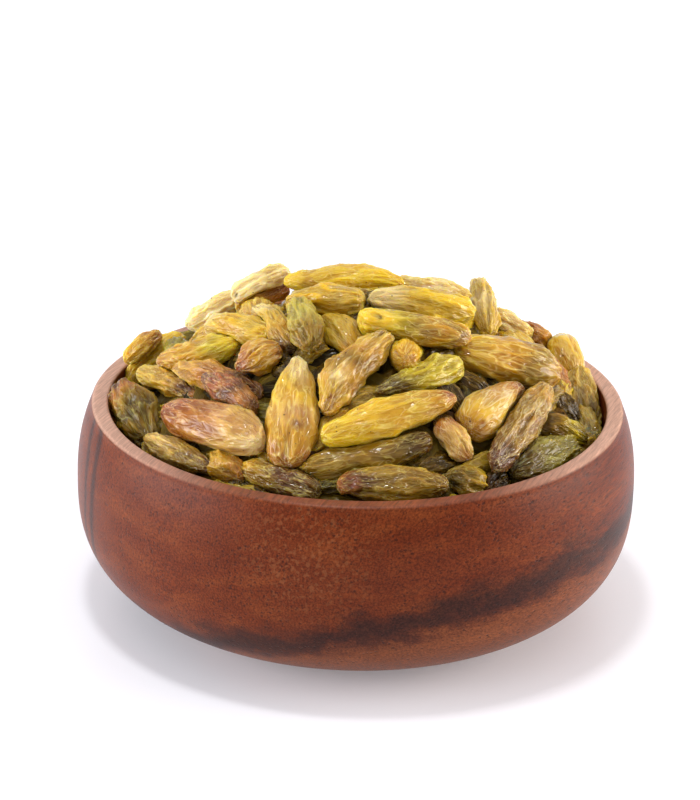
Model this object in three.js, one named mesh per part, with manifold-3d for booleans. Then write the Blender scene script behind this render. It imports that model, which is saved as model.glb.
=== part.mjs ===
// A small turned acacia bowl, heaped with long green and golden raisins.
//
// Millimetres, +Z up, the origin on the table under the middle of the bowl.  The raisins that show from
// the front lie where the photograph shows them, each a solid of its own.  Under and behind them one solid
// holds the rest of the heap: a core, with raisins of the same kind laid over it by a rule.

import * as THREE from "three";
import { mergeVertices } from "three/addons/utils/BufferGeometryUtils.js";
import Module from "manifold-3d";

// Driving dimensions of the bowl
const BOWL_RADIUS = 51; // at the belly, the widest place
const BELLY_HEIGHT = 24;
const BOWL_HEIGHT = 38.8;
const RIM_OUTER_RADIUS = 48.1;
const RIM_INNER_RADIUS = 45.3;
const RIM_ROUNDING = 0.5;
const FOOT_RADIUS = 23.8;
const FLOOR_TOP = 7;
const INNER_FLOOR_RADIUS = 20;
const BOWL_SIDES = 44;

// How the outlines bend: under the belly, towards the rim and inside down to the floor
const UNDER_BELLY = { drop: 2.72, bulge: 1.9 };
const OVER_BELLY_BEND = 2.45;
const INSIDE_BEND = { drop: 2.4, bulge: 2 };
const OUTSIDE_HEIGHTS = [1.5, 5, 10, 16, 22, 28, 33.5, 36.5]; // the rows of faces, foot to rim
const INSIDE_HEIGHTS = [29, 20, 13.5, 9.2, FLOOR_TOP];

// Driving dimensions of the heap
const HEAP_TOP = 62.5; // over the table, at the apex
const HEAP_APEX = new THREE.Vector2(0.5, 1);
const HEAP_EDGE_HEIGHT = 37.6; // where the raisins meet the wall, on average
const HEAP_EDGE_TILT = 2.2; // the heap meets the wall this much higher at the back, and lower in front
const HEAP_FULLNESS = 1.55; // 1 is a straight cone, 2 a rounded dome
const CLEARANCE = 0.3; // between solids that touch
const ABOVE_HEAP = 20; // the space for raisins ends this far over the heap

// A raisin that has no size of its own below
const TYPICAL = { length: 18.5, width: 6, flatness: 0.78, arch: 0.3 };
const FULLNESS_POWER = 3.2; // 2 is an ellipse, more is blunter at the tips
const SWELL = 0.12; // how far the rings differ in width, as a share of it
const RIDGE = 0.18; // how far the lengthwise ridges stand out, as a share of the width
const RING_SPACING = { before: 0.75, after: 0.5 }; // the first and last ring's distance from the tips
const RING_TURN = 0.25; // each ring is turned by this share of a face

// The camera of the photograph, found from the ellipses of the rim: it places the raisins that show
const VIEW = {
  elevation: THREE.MathUtils.degToRad(22.28),
  roll: THREE.MathUtils.degToRad(1.34),
  distance: 552.5,
  target: new THREE.Vector3(-1.37, 0, 38.4),
  focalPixels: 3031,
  middle: { x: 350, y: 400 },
};

const DEEP_SINK = 1.3; // a shown raisin that lies deeper than this has fewer faces
const LEAST_FACING = 0.62; // cosine of the angle between a shown raisin's upper side and the camera
const RAY_SEARCH = { before: 70, length: 150, step: 0.25, fromWall: 3 }; // for the heap, along a view ray
const FACES = { near: { sides: 8, rings: 5 }, deep: { sides: 6, rings: 4 } };

// The raisins that show from the front, those on top first.  tips are the two ends on the photograph, in
// its pixels; width is in millimetres; sink is how far the raisin lies under the heap's surface; curve and
// arch bend it sideways and upwards; full moves its widest place towards the second tip; lean brings the
// second tip forward and takes the first one back.
const SHOWN = [
  { colour: "bright", tips: [[321, 438], [456, 396]], width: 8.4, sink: -0.8 },
  { colour: "gold", tips: [[297, 355], [288, 468]], width: 11.4, sink: -0.3, flatness: 0.58, full: 1.4 },
  { colour: "amber", tips: [[162, 409], [271, 441]], width: 9, sink: -0.2 },
  { colour: "gold", tips: [[453, 350], [560, 374]], width: 10.6, sink: -0.5, flatness: 0.72 },
  { colour: "beige", tips: [[493, 467], [549, 384]], width: 7.2, sink: -0.7 },
  { colour: "pale", tips: [[466, 428], [524, 388]], width: 8.6, sink: 0, full: 0.72 },
  { colour: "beige", tips: [[318, 413], [390, 333]], width: 7.9, sink: -0.1, curve: 1 },
  { colour: "bright", tips: [[357, 317], [472, 338]], width: 7.3, sink: -0.3, curve: -0.8, full: 0.78 },
  { colour: "olive", tips: [[368, 298], [475, 313]], width: 7.2, sink: 0, full: 1.2 },
  { colour: "gold", tips: [[283, 280], [405, 281]], width: 6.7, sink: 0, arch: 0.8 },
  { colour: "green", tips: [[298, 300], [312, 350]], width: 6.5, sink: -0.5 },
  { colour: "olive", tips: [[284, 304], [366, 299]], width: 7, sink: 0.6, arch: 0.6 },
  { colour: "bright", tips: [[156, 361], [243, 342]], width: 7.2, sink: -0.2, curve: -1.4, full: 1.3 },
  { colour: "green", tips: [[117, 388], [152, 443]], width: 8.8, sink: 0 },
  { colour: "amber", tips: [[202, 375], [253, 411]], width: 6.3, sink: 0, full: 1.2 },
  { colour: "beige", tips: [[236, 369], [281, 346]], width: 6.6, sink: 0.1, full: 1.3 },
  { colour: "gold", tips: [[206, 326], [274, 334]], width: 6.7, sink: 0 },
  { colour: "bright", tips: [[406, 345], [404, 362]], width: 8.2, sink: 1.5, flatness: 0.92, lean: 5 },
  { colour: "olive", tips: [[479, 280], [488, 336]], width: 5.9, sink: -0.5 },
  { colour: "bright", tips: [[374, 392], [463, 364]], width: 6.8, sink: 1.3, full: 1.3 },
  { colour: "olive", tips: [[336, 485], [450, 484]], width: 7.2, sink: 0.3 },
  { colour: "gold", tips: [[560, 336], [574, 378]], width: 8.2, sink: 0.5 },
  { colour: "beige", tips: [[436, 414], [469, 461]], width: 6.1, sink: 0.7, full: 1.2 },
  { colour: "green", tips: [[512, 476], [578, 446]], width: 7.6, sink: 0.8 },
  { colour: "gold", tips: [[110, 390], [184, 334]], width: 6.8, sink: -0.8 },
  { colour: "amber", tips: [[235, 308], [289, 286]], width: 5, sink: 0.6 },
  { colour: "olive", tips: [[255, 308], [296, 350]], width: 6.8, sink: 1.4 },
  { colour: "gold", tips: [[186, 328], [248, 292]], width: 5.6, sink: 0.6 },
  { colour: "gold", tips: [[231, 298], [290, 270]], width: 5.8, sink: 1.2 },
  { colour: "amber", tips: [[174, 362], [262, 397]], width: 6.6, sink: 2.3 },
  { colour: "olive", tips: [[137, 372], [205, 404]], width: 6, sink: 2.4, curve: 1 },
  { colour: "olive", tips: [[144, 437], [213, 469]], width: 6, sink: 1.7 },
  { colour: "gold", tips: [[242, 466], [322, 494]], width: 6.5, sink: 1.8 },
  { colour: "olive", tips: [[294, 477], [434, 439]], width: 8.2, sink: 2.6 },
  { colour: "pale", tips: [[394, 283], [472, 297]], width: 5.2, sink: 1.4 },
  { colour: "olive", tips: [[324, 316], [364, 358]], width: 8, sink: 2.4 },
  { colour: "olive", tips: [[574, 367], [592, 436]], width: 8, sink: 1.2 },
  { colour: "dark", tips: [[526, 416], [588, 440]], width: 6.2, sink: 1.8 },
  { colour: "olive", tips: [[198, 460], [248, 475]], width: 6.2, sink: 2 },
  { colour: "green", tips: [[449, 478], [485, 484]], width: 6.2, sink: 1.6, flatness: 0.9 },
  { colour: "gold", tips: [[124, 362], [160, 332]], width: 5.2, sink: 2 },
  { colour: "amber", tips: [[546, 358], [567, 407]], width: 5.4, sink: 2.4 },
  { colour: "pale", tips: [[488, 311], [532, 337]], width: 5, sink: 1.8 },
  { colour: "amber", tips: [[516, 325], [556, 347]], width: 5.2, sink: 1.8 },
  { colour: "gold", tips: [[306, 450], [352, 412]], width: 6, sink: 3.2 },
  { colour: "gold", tips: [[252, 438], [293, 468]], width: 6, sink: 4 },
  { colour: "dark", tips: [[303, 394], [352, 358]], width: 6, sink: 4.6 },
  { colour: "olive", tips: [[294, 364], [332, 340]], width: 5.6, sink: 4.2 },
  { colour: "dark", tips: [[414, 472], [474, 448]], width: 6.4, sink: 4 },
  { colour: "dark", tips: [[474, 491], [518, 474]], width: 5.4, sink: 3 },
  { colour: "dark", tips: [[446, 374], [492, 398]], width: 6.4, sink: 4.2 },
  { colour: "dark", tips: [[424, 364], [462, 349]], width: 5.4, sink: 4 },
  { colour: "dark", tips: [[538, 388], [578, 422]], width: 6, sink: 3.6 },
];

// The rest of the heap, laid by a rule in layers: the surface that the photograph doesn't show, what shows
// through its gaps, and the ring along the wall.  Each layer tries places between two distances from the
// axis, sink under the heap's surface.  It keeps those that lie at least clear of the shown raisins, or
// clearInView where the photograph shows the heap, and apart from the ones of the layer laid before.
const LAID = [
  { tries: 500, sink: 1.2, reach: [0, 41.4], clear: 3.7, clearInView: 6.3, apart: 4.2, sides: 6 },
  { tries: 300, sink: 3.8, reach: [0, 40.5], clear: 1.6, clearInView: 1.8, apart: 5, sides: 5 },
  { tries: 16, sink: 4, reach: [41.2, 41.4], clear: 1, clearInView: 1, apart: 0, sides: 5 },
];
const LAID_RINGS = 3;
const IN_VIEW_UP_TO = 9; // the photograph shows the raisins of the heap in front of this Y
const CORE_SINK = 8.4; // of the core under the heap's surface
const CORE_FROM_WALL = 2.5;
const CORE_SIDES = 16;
const CORE_WALL_HEIGHTS = [12, 20];
const CORE_TOP_SHARES = [1, 0.86, 0.7, 0.5, 0.25, 0]; // of the core's radius, from the wall to the axis
const ALONG_WALL = { from: 34, turn: 0.4 }; // raisins this far out turn only this share as much
const LAID_SIZE = { width: [0.9, 1.25], length: [0.8, 1.15], tilt: 3, curve: 2, arch: 1 };
const GOLDEN_ANGLE = Math.PI * (3 - Math.sqrt(5));
const UP = new THREE.Vector3(0, 0, 1);

const COLOURS = {
  wood: 0x8c4a30,
  gold: 0xc9a233,
  bright: 0xcdb82a,
  olive: 0x8e7f2a,
  dark: 0x4a4418,
  green: 0x7f902c,
  amber: 0xb06f2a,
  beige: 0xc4a062,
  pale: 0xcfc583,
  bed: 0x8a7428,
};

const wasm = await Module();
wasm.setup();

// A closed solid from a geometry of which only the positions matter
function solidFrom(geometry) {
  geometry.deleteAttribute("normal");
  geometry.deleteAttribute("uv");
  const merged = mergeVertices(geometry, 1e-4);
  return new wasm.Manifold(
    new wasm.Mesh({
      numProp: 3,
      vertProperties: new Float32Array(merged.attributes.position.array),
      triVerts: new Uint32Array(merged.index.array),
    }),
  );
}

function meshFrom(name, solid, colour, roughness) {
  const { vertProperties, triVerts } = solid.getMesh();
  const geometry = new THREE.BufferGeometry();
  geometry.setAttribute("position", new THREE.BufferAttribute(new Float32Array(vertProperties), 3));
  geometry.setIndex(new THREE.BufferAttribute(new Uint32Array(triVerts), 1));
  geometry.computeVertexNormals();
  const material = new THREE.MeshStandardMaterial({ color: colour, roughness, metalness: 0 });
  const mesh = new THREE.Mesh(geometry, material);
  mesh.name = name;
  return mesh;
}

// The largest body of a solid that a cut has left in pieces
function largestBody(solid) {
  return solid.decompose().sort((a, b) => b.volume() - a.volume())[0];
}

// A number from 0 to 1 that looks random and is the same each time
function scatter(index, stream) {
  const value = Math.sin(index * 127.1 + stream * 311.7) * 43758.5453;
  return value - Math.floor(value);
}

// The bowl's outline, turned about the axis

function outerRadius(height) {
  if (height <= BELLY_HEIGHT) {
    const under = (BELLY_HEIGHT - height) / BELLY_HEIGHT;
    const share = (1 - under ** UNDER_BELLY.drop) ** (1 / UNDER_BELLY.bulge);
    return FOOT_RADIUS + (BOWL_RADIUS - FOOT_RADIUS) * share;
  }
  const over = (height - BELLY_HEIGHT) / (BOWL_HEIGHT - BELLY_HEIGHT);
  return BOWL_RADIUS - (BOWL_RADIUS - RIM_OUTER_RADIUS) * over ** OVER_BELLY_BEND;
}

// The inside: straight at the top, then rounded down to a flat floor
function innerRadius(height) {
  const under = THREE.MathUtils.clamp((BELLY_HEIGHT - height) / (BELLY_HEIGHT - FLOOR_TOP), 0, 1);
  const share = (1 - under ** INSIDE_BEND.drop) ** (1 / INSIDE_BEND.bulge);
  return INNER_FLOOR_RADIUS + (RIM_INNER_RADIUS - INNER_FLOOR_RADIUS) * share;
}

// The inside outline from the rim down to the axis, moved inwards and upwards by inset
function insideOutline(inset) {
  const wall = INSIDE_HEIGHTS.map((z) => new THREE.Vector2(innerRadius(z) - inset, z + inset));
  return [...wall, new THREE.Vector2(0, FLOOR_TOP + inset)];
}

function bowlGeometry() {
  const point = (radius, height) => new THREE.Vector2(radius, height);
  const outside = OUTSIDE_HEIGHTS.map((z) => point(outerRadius(z), z));
  const profile = [
    point(0, 0),
    point(FOOT_RADIUS, 0),
    ...outside,
    point(RIM_OUTER_RADIUS, BOWL_HEIGHT - RIM_ROUNDING),
    point(RIM_OUTER_RADIUS - RIM_ROUNDING, BOWL_HEIGHT),
    point(RIM_INNER_RADIUS + RIM_ROUNDING, BOWL_HEIGHT),
    point(RIM_INNER_RADIUS, BOWL_HEIGHT - RIM_ROUNDING),
    ...insideOutline(0),
  ];
  return upright(new THREE.LatheGeometry(profile, BOWL_SIDES));
}

// LatheGeometry turns about Y; this stands it on Z
function upright(geometry) {
  return geometry.rotateX(Math.PI / 2);
}

// The space inside the bowl that raisins may fill, open upwards
function bowlSpace() {
  const ceiling = HEAP_TOP + ABOVE_HEAP;
  const radius = RIM_INNER_RADIUS - CLEARANCE;
  const top = [new THREE.Vector2(radius, ceiling), new THREE.Vector2(0, ceiling)];
  const profile = [...insideOutline(CLEARANCE).reverse(), ...top];
  return solidFrom(upright(new THREE.LatheGeometry(profile, BOWL_SIDES)));
}

// The heap's surface

function heapHeight(x, y) {
  const fromApex = new THREE.Vector2(x, y).sub(HEAP_APEX);
  const distance = fromApex.length();
  const edge = HEAP_EDGE_HEIGHT + (HEAP_EDGE_TILT * y) / RIM_INNER_RADIUS;
  if (distance < 1e-6) return HEAP_TOP;
  const along = fromApex.dot(HEAP_APEX) / distance;
  const toWall = -along + Math.sqrt(along ** 2 + RIM_INNER_RADIUS ** 2 - HEAP_APEX.lengthSq());
  return edge + (HEAP_TOP - edge) * (1 - Math.min(distance / toWall, 1.2) ** HEAP_FULLNESS);
}

function heapNormal(x, y) {
  const step = 0.5;
  const slopeX = (heapHeight(x + step, y) - heapHeight(x - step, y)) / (2 * step);
  const slopeY = (heapHeight(x, y + step) - heapHeight(x, y - step)) / (2 * step);
  return new THREE.Vector3(-slopeX, -slopeY, 1).normalize();
}

// The ray from the camera through a pixel of the photograph
function viewRay([px, py]) {
  const { elevation, roll, distance, target, focalPixels, middle } = VIEW;
  const forward = new THREE.Vector3(0, Math.cos(elevation), -Math.sin(elevation));
  const level = new THREE.Vector3(1, 0, 0);
  const upward = new THREE.Vector3().crossVectors(level, forward);
  const right = level.clone().multiplyScalar(Math.cos(roll)).addScaledVector(upward, Math.sin(roll));
  const up = upward.clone().multiplyScalar(Math.cos(roll)).addScaledVector(level, -Math.sin(roll));
  const direction = forward
    .clone()
    .addScaledVector(right, (px - middle.x) / focalPixels)
    .addScaledVector(up, -(py - middle.y) / focalPixels);
  return new THREE.Ray(target.clone().addScaledVector(forward, -distance), direction.normalize());
}

// Where that ray meets the heap's surface lowered by depth, or passes nearest to it within the bowl
function pointOnHeap(pixel, depth) {
  const ray = viewRay(pixel);
  const nearest = { height: Infinity, at: 0 };
  const start = VIEW.distance - RAY_SEARCH.before;
  for (let at = start; at < start + RAY_SEARCH.length; at += RAY_SEARCH.step) {
    const point = ray.at(at, new THREE.Vector3());
    if (Math.hypot(point.x, point.y) > RIM_INNER_RADIUS - RAY_SEARCH.fromWall) continue;
    const height = point.z - heapHeight(point.x, point.y) + depth;
    if (height < nearest.height) Object.assign(nearest, { height, at });
    if (height <= 0) break;
  }
  return ray.at(nearest.at, new THREE.Vector3());
}

// A raisin: rings of points round a bent spine, ridged lengthwise, blunt at both ends.  grow makes it that
// much larger all round, for the room that a neighbour has to leave.
function raisinSolid(raisin, grow = 0) {
  const { from, to, normal, width, index } = raisin;
  const { flatness = TYPICAL.flatness, curve = 0, arch = TYPICAL.arch, full = 1, sides, rings } = raisin;
  const along = to.clone().sub(from);
  const length = along.length();
  along.normalize();
  const up = normal.clone().addScaledVector(along, -normal.dot(along)).normalize();
  const side = new THREE.Vector3().crossVectors(up, along);
  const bulge = (t) => 4 * t * (1 - t);
  const spine = (t) =>
    from
      .clone()
      .addScaledVector(along, length * t)
      .addScaledVector(side, curve * bulge(t))
      .addScaledVector(up, arch * (bulge(t) - 0.5));
  const positions = [];
  const push = (point) => positions.push(point.x, point.y, point.z) / 3 - 1;
  const first = push(spine(0).addScaledVector(along, -grow));
  for (let ring = 0; ring < rings; ring += 1) {
    const share = (ring + RING_SPACING.before) / (rings + RING_SPACING.after);
    const t = 0.5 - 0.5 * Math.cos(Math.PI * share);
    const fullness = (1 - Math.abs(2 * t ** full - 1) ** FULLNESS_POWER) ** 0.5;
    const swell = 1 + SWELL * (scatter(index, 20 + ring) - 0.5);
    for (let k = 0; k < sides; k += 1) {
      const angle = (2 * Math.PI * (k + RING_TURN * ring)) / sides + index;
      const ridge = 1 + RIDGE * (scatter(index, k) - 0.5);
      const radius = (width / 2) * fullness * ridge * swell;
      push(
        spine(t)
          .addScaledVector(side, (radius + grow) * Math.cos(angle))
          .addScaledVector(up, (radius * flatness + grow) * Math.sin(angle)),
      );
    }
  }
  const last = push(spine(1).addScaledVector(along, grow));
  const corner = (ring, k) => first + 1 + ring * sides + (k % sides);
  const faces = [];
  for (let k = 0; k < sides; k += 1) {
    faces.push(first, corner(0, k + 1), corner(0, k));
    for (let ring = 0; ring + 1 < rings; ring += 1) {
      faces.push(corner(ring, k), corner(ring, k + 1), corner(ring + 1, k + 1));
      faces.push(corner(ring, k), corner(ring + 1, k + 1), corner(ring + 1, k));
    }
    faces.push(last, corner(rings - 1, k), corner(rings - 1, k + 1));
  }
  const geometry = new THREE.BufferGeometry();
  geometry.setAttribute("position", new THREE.Float32BufferAttribute(positions, 3));
  geometry.setIndex(faces);
  return solidFrom(geometry);
}

// A raisin of the photograph: its middle on the heap, its tips on the rays through theirs.  It lies along
// the heap, but turned to the camera where the heap is seen edge-on.
function shownRaisin(row, index) {
  const { tips, width, sink, flatness = TYPICAL.flatness, lean = 0 } = row;
  const rays = tips.map(viewRay);
  const middle = tips[0].map((value, axis) => (value + tips[1][axis]) / 2);
  const centre = pointOnHeap(middle, (width * flatness) / 2 + sink);
  const normal = heapNormal(centre.x, centre.y);
  const toCamera = viewRay(middle).direction.negate();
  const facing = normal.clone();
  while (facing.dot(toCamera) < LEAST_FACING) facing.addScaledVector(toCamera, 0.1).normalize();
  const plane = new THREE.Plane().setFromNormalAndCoplanarPoint(facing, centre);
  const [from, to] = rays.map((ray) => ray.intersectPlane(plane, new THREE.Vector3()));
  from.addScaledVector(toCamera, -lean);
  to.addScaledVector(toCamera, lean);
  const faces = sink > DEEP_SINK ? FACES.deep : FACES.near;
  return { ...row, ...faces, from, to, index, normal: facing };
}

// Distance in plan from a point to the line between a raisin's tips
function planDistance(point, { from, to }) {
  const line = new THREE.Line3(from.clone().setZ(0), to.clone().setZ(0));
  const flat = point.clone().setZ(0);
  return line.closestPointToPoint(flat, true, new THREE.Vector3()).distanceTo(flat);
}

// A raisin laid on the heap by a rule: around the axis, turned at random, more or less along the wall
function laidRaisin({ tries, sink, reach, sides }, layer, i) {
  const index = 1000 * (layer + 1) + i;
  const share = (i + 0.5) / tries;
  const radius = Math.sqrt(THREE.MathUtils.lerp(reach[0] ** 2, reach[1] ** 2, share));
  const bearing = i * GOLDEN_ANGLE;
  const middle = new THREE.Vector3(radius * Math.cos(bearing), radius * Math.sin(bearing), 0);
  const width = TYPICAL.width * THREE.MathUtils.lerp(...LAID_SIZE.width, scatter(index, 11));
  const length = TYPICAL.length * THREE.MathUtils.lerp(...LAID_SIZE.length, scatter(index, 12));
  const normal = heapNormal(middle.x, middle.y);
  const turn = Math.PI * (scatter(index, 13) - 0.5) * (radius > ALONG_WALL.from ? ALONG_WALL.turn : 1);
  const along = new THREE.Vector3(-middle.y, middle.x, 0).applyAxisAngle(UP, turn).normalize();
  along.addScaledVector(normal, -along.dot(normal)).normalize();
  middle.z = heapHeight(middle.x, middle.y) - (width * TYPICAL.flatness) / 2 - sink;
  const tilt = LAID_SIZE.tilt * (scatter(index, 14) - 0.5);
  const tip = (end) =>
    middle
      .clone()
      .addScaledVector(along, (end * length) / 2)
      .addScaledVector(normal, -end * tilt);
  const curve = LAID_SIZE.curve * (scatter(index, 15) - 0.5);
  const form = { curve, arch: LAID_SIZE.arch, sides, rings: LAID_RINGS };
  return { from: tip(-1), to: tip(1), middle, normal, width, index, ...form };
}

function laidRaisins(layer, number, shown) {
  const kept = [];
  for (let i = 0; i < layer.tries; i += 1) {
    const raisin = laidRaisin(layer, number, i);
    const clear = raisin.middle.y < IN_VIEW_UP_TO ? layer.clearInView : layer.clear;
    const tooNear = (others, distance) =>
      others.some((other) => planDistance(raisin.middle, other) < distance);
    if (!tooNear(shown, clear) && !tooNear(kept, layer.apart)) kept.push(raisin);
  }
  return kept;
}

// The core that the laid raisins stand out of, and that rests on the bowl's floor
function coreSolid() {
  const bottom = FLOOR_TOP + CLEARANCE;
  const wall = [bottom, ...CORE_WALL_HEIGHTS].map(
    (z) => new THREE.Vector2(innerRadius(z) - CORE_FROM_WALL, z),
  );
  const top = CORE_TOP_SHARES.map((share) => {
    const radius = share * (RIM_INNER_RADIUS - CORE_FROM_WALL);
    return new THREE.Vector2(radius, heapHeight(radius, 0) - CORE_SINK);
  });
  const profile = [new THREE.Vector2(0, bottom), ...wall, ...top];
  return solidFrom(upright(new THREE.LatheGeometry(profile, CORE_SIDES)));
}

// Cuts a solid clear of each grown neighbour whose box meets its own
function cutClear(solid, neighbours) {
  const box = boxOf(solid);
  return neighbours
    .filter((neighbour) => box.intersectsBox(boxOf(neighbour)))
    .reduce((left, neighbour) => left.subtract(neighbour), solid);
}

function boxOf(solid) {
  const { min, max } = solid.boundingBox();
  return new THREE.Box3(new THREE.Vector3(...min), new THREE.Vector3(...max));
}

const group = new THREE.Group();
group.add(meshFrom("wooden_bowl", solidFrom(bowlGeometry()), COLOURS.wood, 0.38));

const space = bowlSpace();
const shown = SHOWN.map(shownRaisin);
const grown = shown.map((raisin) => raisinSolid(raisin, CLEARANCE));
shown.forEach((raisin, i) => {
  const above = grown.slice(0, i);
  const solid = largestBody(cutClear(raisinSolid(raisin).intersect(space), above));
  const number = String(i + 1).padStart(2, "0");
  group.add(meshFrom(`raisin_${number}_${raisin.colour}`, solid, COLOURS[raisin.colour], 0.45));
});

const laid = LAID.flatMap((layer, number) => laidRaisins(layer, number, shown));
const bed = laid.reduce((heap, raisin) => heap.add(raisinSolid(raisin)), coreSolid());
group.add(meshFrom("raisins_beneath", largestBody(cutClear(bed.intersect(space), grown)), COLOURS.bed, 0.5));

export default group;
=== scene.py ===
# %% [markdown]
# # A bowl of raisins
#
# A small turned acacia bowl, 102 mm wide, heaped with long green and golden raisins.
# The shapes come in as a frame of plain solids: the bowl, 53 single raisins that show from the front, and
# one solid for the raisins underneath and behind.  This lesson gives each of them its real surface: turned,
# oiled wood with pores and a dark vein of heartwood, and thin, waxy, wrinkled skins that let light through.

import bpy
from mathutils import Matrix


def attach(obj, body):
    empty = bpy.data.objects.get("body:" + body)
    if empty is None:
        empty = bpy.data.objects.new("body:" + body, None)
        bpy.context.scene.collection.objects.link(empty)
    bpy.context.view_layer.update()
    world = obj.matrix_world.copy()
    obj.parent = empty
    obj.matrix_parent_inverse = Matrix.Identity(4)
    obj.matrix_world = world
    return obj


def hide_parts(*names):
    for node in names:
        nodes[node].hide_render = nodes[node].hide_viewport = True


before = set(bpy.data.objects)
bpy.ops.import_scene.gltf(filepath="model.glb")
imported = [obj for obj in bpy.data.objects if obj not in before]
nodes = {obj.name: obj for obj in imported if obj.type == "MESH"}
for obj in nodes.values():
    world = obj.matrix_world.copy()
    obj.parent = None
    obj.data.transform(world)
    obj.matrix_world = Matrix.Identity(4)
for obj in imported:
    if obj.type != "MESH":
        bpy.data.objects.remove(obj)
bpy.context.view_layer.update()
print(len(nodes), "solids in the frame")

# %% Libraries and units
import math
from functools import partial

import bmesh
import bpy
import numpy as np
from mathutils import Matrix, Vector
from mathutils.bvhtree import BVHTree

MM = 0.001  # the scene is in metres, the sizes below are in millimetres


# %% [markdown]
# ## One way to write nodes
#
# Shader trees and geometry trees are built in code.  One helper adds any node: its inputs are numbers or the
# sockets that feed them, and its settings are named values.  A material is then a function that adds its
# pattern's nodes and says what each input of the shader gets.

# %% Add a node
SMOOTH = {"interpolation_type": "SMOOTHSTEP"}  # for a Map Range that eases in and out
RGBA = {"data_type": "RGBA"}  # for a Mix of colours: its inputs are then 0, 6 and 7, and its output is 2


def feed(tree, node, inputs):
    """inputs: numbers or sockets, as a list from the first input on or by name or index."""
    for key, value in inputs.items() if isinstance(inputs, dict) else enumerate(inputs):
        if isinstance(value, bpy.types.NodeSocket):
            tree.links.new(value, node.inputs[key])
        else:
            node.inputs[key].default_value = value


def add(tree, kind, inputs=(), read=0, **settings):
    """Adds a node and gives back one of its outputs, or all where read is None.

    The kind leaves out ShaderNode in front, and has the node's operation behind a colon.
    """
    kind, _, operation = kind.partition(":")
    node = tree.nodes.new(kind if kind.startswith(("Geometry", "Function", "NodeGroup")) else "ShaderNode" + kind)
    if operation:
        settings["operation"] = operation
    for name, value in settings.items():
        setattr(node, name, value)
    feed(tree, node, inputs)
    return node.outputs if read is None else node.outputs[read]


# %% Colours are written as hex and turned to linear light
def linear(hex_colour):
    shares = [int(hex_colour[i : i + 2], 16) / 255 for i in (0, 2, 4)]
    return tuple(s / 12.92 if s <= 0.04045 else ((s + 0.055) / 1.055) ** 2.4 for s in shares) + (1.0,)


# %% Make a material
def principled(name, finish):
    """finish takes the helper for this material's tree and returns the shader's inputs."""
    material = bpy.data.materials.new(name)
    material.use_nodes = True
    tree = material.node_tree
    feed(tree, tree.nodes["Principled BSDF"], finish(partial(add, tree)))
    return material


# %% [markdown]
# ## The camera
#
# The photograph looks down by 22 degrees from a little over half a metre, with a long lens, rolled by a
# degree.  These values come from the ellipses of the bowl's rim.  The same camera later tells each raisin
# which of its ends is the left one, so it is made first.

# %% Place the camera
ELEVATION = math.radians(22.28)
ROLL = math.radians(1.34)
DISTANCE = 0.5525
AIM = Vector((-0.00137, 0, 0.0384))
LENS, SENSOR = 136.4, 36  # millimetres

look = Vector((0, math.cos(ELEVATION), -math.sin(ELEVATION)))
level = Vector((1, 0, 0))
upward = level.cross(look)
view_right = level * math.cos(ROLL) + upward * math.sin(ROLL)
view_up = upward * math.cos(ROLL) - level * math.sin(ROLL)

camera = bpy.data.objects.new("camera", bpy.data.cameras.new("camera"))
camera.data.lens, camera.data.sensor_width = LENS, SENSOR
camera.data.clip_start, camera.data.clip_end = 0.05, 20
camera.matrix_world = Matrix((view_right, view_up, -look)).transposed().to_4x4()
camera.matrix_world.translation = AIM - look * DISTANCE
bpy.context.scene.collection.objects.link(camera)
bpy.context.scene.camera = camera
print("camera at", [round(x, 3) for x in camera.matrix_world.translation])


# %% [markdown]
# ## Light and floor
#
# The photograph is a product picture on a white sweep.  Wet-looking skins need something to mirror, so a
# small bright softbox high above gives the glints and the soft shadow, and a wide one at each side fills
# the flanks.  The surroundings are white overhead and dimmer in front, or they would lay a veil over the
# dark raisins.  A wide floor fills the whole frame at this angle, so no backdrop is needed.  It has a faint
# gloss, as coated paper has, and glows a little, as a light table does, so that shade on it stays pale.

# %% White surroundings and softboxes
IN_FRONT, OVERHEAD = 0.42, 0.8  # strength of the white towards the camera's side and above
SOFTBOXES = {  # place and size in metres, power in watts, colour
    "key_softbox": ((-0.08, -0.06, 0.85), (0.12, 0.1), 2.3, "ffffff"),
    "left_softbox": ((-0.74, -0.16, 0.2), (0.7, 0.35), 5.6, "f6f9ff"),
    "right_softbox": ((0.74, 0.02, 0.22), (0.6, 0.35), 5.2, "fff7ee"),
}

world = bpy.data.worlds.new("white_surroundings")
world.use_nodes = True
sky = world.node_tree
towards = add(sky, "TexCoord", read="Generated")
rise = add(sky, "VectorMath:DOT_PRODUCT", [towards, (0, 0.5, 0.866)], "Value")
strength = add(sky, "MapRange", [rise, -0.5, 0.6, IN_FRONT, OVERHEAD])
feed(sky, sky.nodes["Background"], {"Strength": strength, "Color": linear("fbfbfd")})
bpy.context.scene.world = world
bpy.context.scene.view_settings.view_transform = "Standard"

for name, (place, size, power, colour) in SOFTBOXES.items():
    lamp = bpy.data.lights.new(name, "AREA")
    lamp.shape, lamp.size, lamp.size_y = "RECTANGLE", size[0], size[1]
    lamp.energy, lamp.color = power, linear(colour)[:3]
    holder = bpy.data.objects.new(name, lamp)
    holder.location = place
    holder.rotation_mode = "QUATERNION"
    holder.rotation_quaternion = (Vector((0, 0, 0.03)) - Vector(place)).to_track_quat("-Z", "Y")
    bpy.context.scene.collection.objects.link(holder)
print("lights:", sorted(SOFTBOXES))


# %% Floor
def linked(name, mesh):
    piece = bpy.data.objects.new(name, mesh)
    bpy.context.scene.collection.objects.link(piece)
    return piece


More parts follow.
